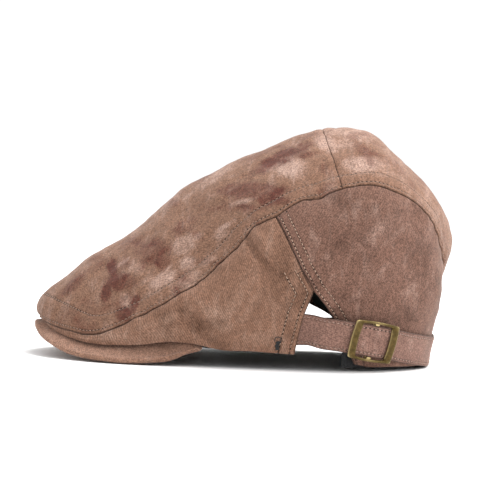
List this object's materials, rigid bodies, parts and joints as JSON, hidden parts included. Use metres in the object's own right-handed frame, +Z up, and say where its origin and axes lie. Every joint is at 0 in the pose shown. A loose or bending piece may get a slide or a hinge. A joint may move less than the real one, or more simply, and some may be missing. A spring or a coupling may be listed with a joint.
{
  "type": "flat cap",
  "caption": "Flat cap with a crown sewn down onto a curved peak, side slits, a lining, a sweatband and a rear strap with a slide buckle.",
  "frame": {"origin": "middle of the bounding box's base, on the surface the cap stands on", "axes": "+Z up, +Y to the back of the cap (the peak points to -Y), +X to the wearer's left, the side of the buckle"},
  "size_m": [0.1719, 0.2684, 0.151],
  "materials": {
    "mottled_cloth": "washed, mottled brown cotton twill",
    "brown_cloth": "washed brown ribbed cotton",
    "rosy_cloth": "washed reddish brown cotton twill",
    "lining": "thin dark woven lining",
    "sweatband": "black woven band",
    "board": "flexible polyethylene board",
    "brass": "antique brass, brushed",
    "thread": "black polyester thread"
  },
  "bodies": {
    "cap": {"crown_top_front": "mottled_cloth", "crown_top_rear": "mottled_cloth", "side_panel_front_left": "brown_cloth", "side_panel_front_right": "brown_cloth", "side_panel_rear_left": "rosy_cloth", "side_panel_rear_right": "rosy_cloth", "lining_crown": "lining", "lining_front": "lining", "lining_side_front_left": "lining", "lining_side_front_right": "lining", "lining_side_rear_left": "lining", "lining_side_rear_right": "lining", "sweatband_front": "sweatband", "sweatband_rear": "sweatband", "peak_cover_top": "brown_cloth", "peak_board": "board", "peak_cover_bottom": "brown_cloth", "adjuster_strap": "rosy_cloth", "bar_tack_left": "thread", "bar_tack_right": "thread"},
    "buckle": {"buckle": "brass"}
  },
  "joints": [
    {"name": "buckle_slide", "type": "hinge", "parent": "cap", "child": "buckle", "pos_m": [0.0145, 0.0452, 0.0155], "axis": [-0.1331, 0.0996, 0.9861], "range_deg": [-11, 5.5]}
  ]
}
